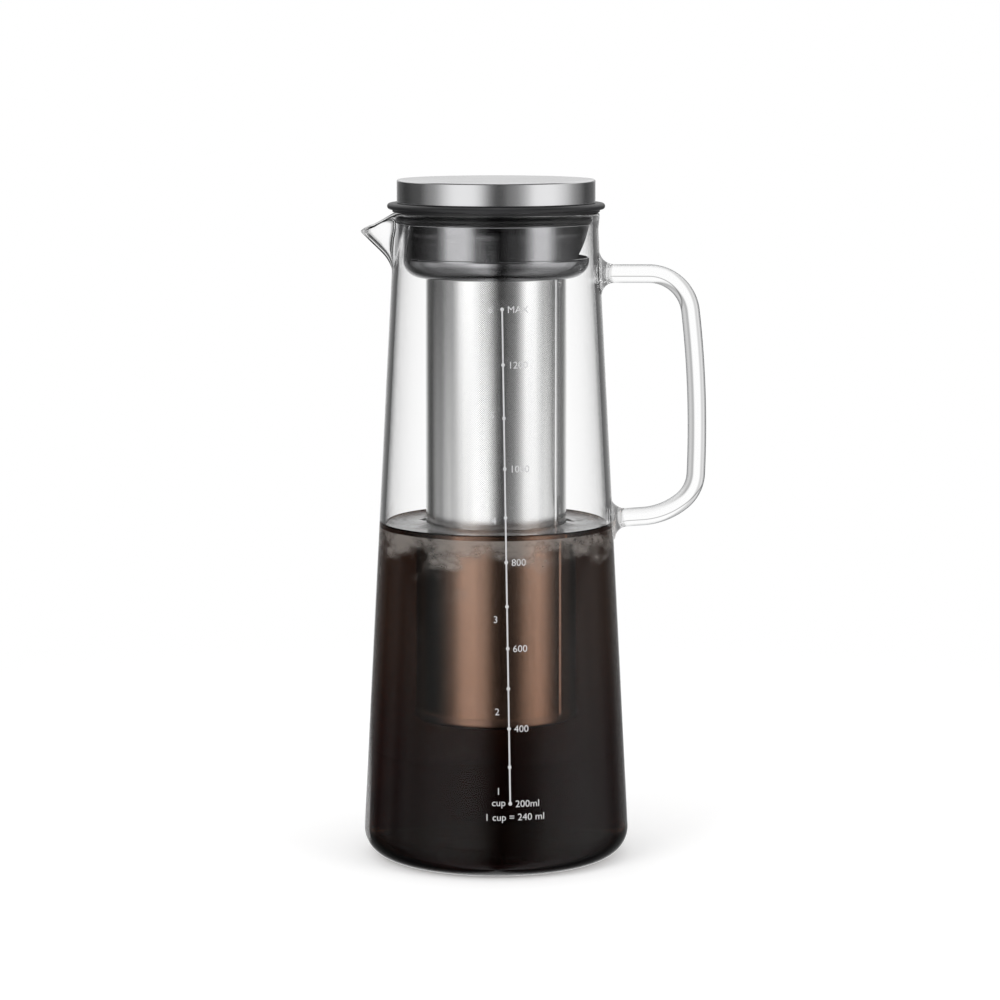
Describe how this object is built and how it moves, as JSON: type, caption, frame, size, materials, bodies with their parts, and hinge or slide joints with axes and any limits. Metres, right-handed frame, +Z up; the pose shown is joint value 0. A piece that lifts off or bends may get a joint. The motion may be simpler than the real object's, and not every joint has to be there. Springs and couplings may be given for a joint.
{
  "type": "cold brew coffee maker",
  "caption": "Conical glass carafe with a pouring spout and a glass rod handle, a steel lid that turns in a silicone seal, and a steel mesh brewing filter hung under the lid.",
  "frame": {"origin": "centre of the carafe's flat base, on the axis of the glass body", "axes": "+Z up along the axis of the glass body; +X towards the handle, so the spout points to -X; the printed scale faces -Y"},
  "size_m": [0.1345, 0.104, 0.265],
  "materials": {
    "clear_glass": "clear borosilicate, fire-polished",
    "white_print": "fired white enamel",
    "black_silicone": "moulded, satin",
    "brushed_steel": "fine brushed round the axis",
    "steel_mesh": "fine woven mesh",
    "core_plastic": "moulded"
  },
  "bodies": {
    "carafe": {"carafe": "clear_glass", "handle": "clear_glass", "printed_scale": "white_print"},
    "seal": {"mouth_seal": "black_silicone"},
    "lid": {"cap_shell": "brushed_steel", "cap_core": "core_plastic", "collar": "brushed_steel", "lid_screws": "brushed_steel", "screw_washers": "black_silicone"},
    "filter": {"filter_cup": "brushed_steel", "filter_clips": "brushed_steel", "filter_top_hoop": "brushed_steel", "filter_mesh": "steel_mesh", "filter_seam_strip": "brushed_steel", "filter_low_hoop": "brushed_steel", "filter_pan": "brushed_steel"}
  },
  "joints": [
    {"name": "lid_lift", "type": "slide", "parent": "carafe", "child": "seal", "axis": [0, 0, 1], "range_m": [0, 0.205]},
    {"name": "lid_swivel", "type": "hinge", "parent": "seal", "child": "lid", "pos_m": [0, 0, 0.256], "axis": [0, 0, 1], "continuous": true},
    {"name": "filter_pull", "type": "slide", "parent": "lid", "child": "filter", "axis": [0, 0, -1], "range_m": [0, 0.04]}
  ]
}
